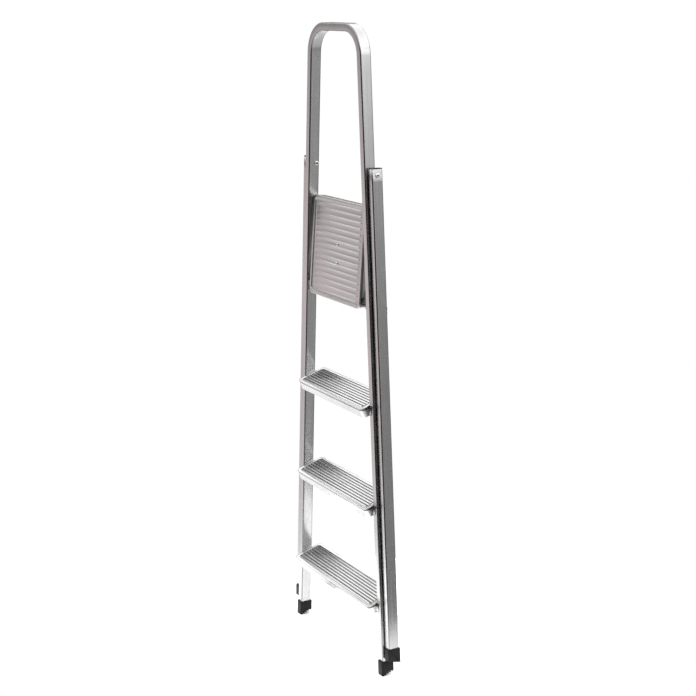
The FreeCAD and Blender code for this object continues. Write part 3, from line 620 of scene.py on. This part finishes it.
# ---- studio ----------------------------------------------------------------------------------------
AREA_SIZE = 2.4
FLOOR_RADIUS = 0.62


def floor():
    mesh = bmesh.new()
    bmesh.ops.create_circle(mesh, cap_ends=True, segments=128, radius=FLOOR_RADIUS)
    data = bpy.data.meshes.new("floor")
    mesh.to_mesh(data)
    mesh.free()
    obj = bpy.data.objects.new("floor", data)
    bpy.context.scene.collection.objects.link(obj)
    m = Shader("floor_paper")
    cloud = m.noise(m.coords("Object", EVEN), 2.0, 2.0, 0.5)
    m.set("Base Color", m.mix(cloud, grey(0.90), grey(0.93)))
    m.set("Roughness", 0.85)
    data.materials.append(m.material)


def area(name, place, target, power):
    light = bpy.data.lights.new(name, "AREA")
    light.shape = "RECTANGLE"
    light.size = AREA_SIZE
    light.size_y = AREA_SIZE
    light.energy = power
    obj = bpy.data.objects.new(name, light)
    bpy.context.scene.collection.objects.link(obj)
    obj.visible_glossy = False
    obj.location = place
    obj.rotation_euler = (Vector(target) - Vector(place)).to_track_quat("-Z", "Y").to_euler()


GAIN = 2.4                     # the brightest part of the studio, which a ramp alone cannot hold


def ramp(tree, source, stops):
    node = tree.nodes.new("ShaderNodeValToRGB")
    while len(node.color_ramp.elements) < len(stops):
        node.color_ramp.elements.new(0.5)
    for element, (at, colour) in zip(node.color_ramp.elements, stops):
        element.position = at
        element.color = (colour[0], colour[1], colour[2], 1.0)
    tree.links.new(source, node.inputs[0])
    return node.outputs[0]


def span(tree, value, low, high, kind):
    """0 to 1 as the value goes from low to high."""
    node = tree.nodes.new("ShaderNodeMapRange")
    node.interpolation_type = kind
    node.inputs["From Min"].default_value = low
    node.inputs["From Max"].default_value = high
    tree.links.new(value, node.inputs["Value"])
    return node.outputs[0]


def absolute(tree, value):
    node = tree.nodes.new("ShaderNodeMath")
    node.operation = "ABSOLUTE"
    tree.links.new(value, node.inputs[0])
    return node.outputs[0]


def shade(value, tint=EVEN):
    return tuple(value * part / GAIN for part in tint)


LIT_AXIS = (0.8645, 0.5025, 0.0)
DARK_SHARE = 0.05              # light away from the lit axis, against the light along it


def world():
    """White paper seen directly; in reflections a studio lit from both ends of one level axis.

    Away from that axis and from the top and bottom it is dark.
    """
    sky = bpy.data.worlds.new("studio")
    bpy.context.scene.world = sky
    sky.use_nodes = True
    tree = sky.node_tree
    tree.nodes.clear()
    out = tree.nodes.new("ShaderNodeOutputWorld")
    lit = tree.nodes.new("ShaderNodeBackground")
    seen = tree.nodes.new("ShaderNodeBackground")
    pick = tree.nodes.new("ShaderNodeMixShader")
    path = tree.nodes.new("ShaderNodeLightPath")
    coords = tree.nodes.new("ShaderNodeTexCoord")
    split = tree.nodes.new("ShaderNodeSeparateXYZ")
    level = tree.nodes.new("ShaderNodeMapRange")
    level.inputs["From Min"].default_value = -1.0
    level.inputs["From Max"].default_value = 1.0
    tree.links.new(coords.outputs["Generated"], split.inputs[0])
    tree.links.new(split.outputs["Z"], level.inputs["Value"])
    rose = (1.0, 0.86, 0.87)
    right = ramp(tree, level.outputs[0], (
        (0.0, shade(0.80)), (0.22, shade(0.70)), (0.25, shade(0.56)), (0.275, shade(0.46)),
        (0.30, shade(0.50)), (0.326, shade(0.38)), (0.36, shade(0.42)), (0.385, shade(0.46)),
        (0.41, shade(0.44)), (0.445, shade(0.44)), (0.48, shade(0.50)), (0.506, shade(0.58)),
        (0.535, shade(1.25)), (0.60, shade(1.9)), (0.80, shade(2.3)), (1.0, shade(1.40))))
    left = ramp(tree, level.outputs[0], (
        (0.0, shade(1.0)), (0.20, shade(1.20)), (0.27, shade(1.60)), (0.30, shade(1.70)),
        (0.325, shade(1.20)), (0.35, shade(0.72, rose)), (0.41, shade(1.02, rose)),
        (0.455, shade(0.68, rose)), (0.48, shade(0.62, rose)), (0.50, shade(0.32)),
        (0.55, shade(0.32)), (0.585, shade(0.8)), (0.625, shade(1.6)), (0.735, shade(2.0)),
        (1.0, shade(1.40))))
    aim = tree.nodes.new("ShaderNodeVectorMath")
    aim.operation = "DOT_PRODUCT"
    aim.inputs[1].default_value = LIT_AXIS
    tree.links.new(coords.outputs["Generated"], aim.inputs[0])
    side = span(tree, aim.outputs["Value"], -0.4, 0.4, "LINEAR")
    blend = tree.nodes.new("ShaderNodeMix")
    blend.data_type = "RGBA"
    tree.links.new(side, blend.inputs["Factor"])
    tree.links.new(left, blend.inputs[6])
    tree.links.new(right, blend.inputs[7])
    facing = span(tree, absolute(tree, aim.outputs["Value"]), 0.80, 0.94, "SMOOTHSTEP")
    steep = span(tree, absolute(tree, split.outputs["Z"]), 0.34, 0.52, "SMOOTHSTEP")
    both = tree.nodes.new("ShaderNodeMath")
    both.operation = "MAXIMUM"
    tree.links.new(facing, both.inputs[0])
    tree.links.new(steep, both.inputs[1])
    tree.links.new(blend.outputs[2], lit.inputs[0])
    power = tree.nodes.new("ShaderNodeMapRange")
    power.inputs["To Min"].default_value = DARK_SHARE * GAIN
    power.inputs["To Max"].default_value = GAIN
    tree.links.new(both.outputs[0], power.inputs["Value"])
    tree.links.new(power.outputs[0], lit.inputs[1])
    seen.inputs[0].default_value = (1.0, 1.0, 1.0, 1.0)
    tree.links.new(path.outputs["Is Camera Ray"], pick.inputs[0])
    tree.links.new(lit.outputs[0], pick.inputs[1])
    tree.links.new(seen.outputs[0], pick.inputs[2])
    tree.links.new(pick.outputs[0], out.inputs[0])


def camera():
    """Camera at the viewing angle of the picture being matched, for a square frame."""
    place = Vector((3.2027, -1.8131, 1.7296))
    yaw = math.radians(60.25)
    pitch = math.radians(13.82)
    roll = math.radians(-0.43)
    look = Vector((-math.sin(yaw) * math.cos(pitch), math.cos(yaw) * math.cos(pitch), -math.sin(pitch)))
    side = Vector((math.cos(yaw), math.sin(yaw), 0.0))
    up = side.cross(look)
    right = side * math.cos(roll) + up * math.sin(roll)
    top = up * math.cos(roll) - side * math.sin(roll)
    data = bpy.data.cameras.new("camera")
    data.sensor_width = 36.0
    data.lens = 75.46
    obj = bpy.data.objects.new("camera", data)
    bpy.context.scene.collection.objects.link(obj)
    turn = Matrix((right, top, -look)).transposed()
    obj.matrix_world = Matrix.Translation(place) @ turn.to_4x4()
    bpy.context.scene.camera = obj


floor()
for name, place, height, power in (("key", (-1.9, -2.2, 3.2), 0.6, 130.0),
                                   ("fill", (2.6, -0.4, 3.0), 0.6, 60.0),
                                   ("back", (-1.2, 2.6, 3.0), 0.8, 60.0)):
    area(name, place, (0.0, 0.0, height), power)
world()
camera()
bpy.context.scene.view_settings.view_transform = "Standard"
bpy.context.view_layer.update()
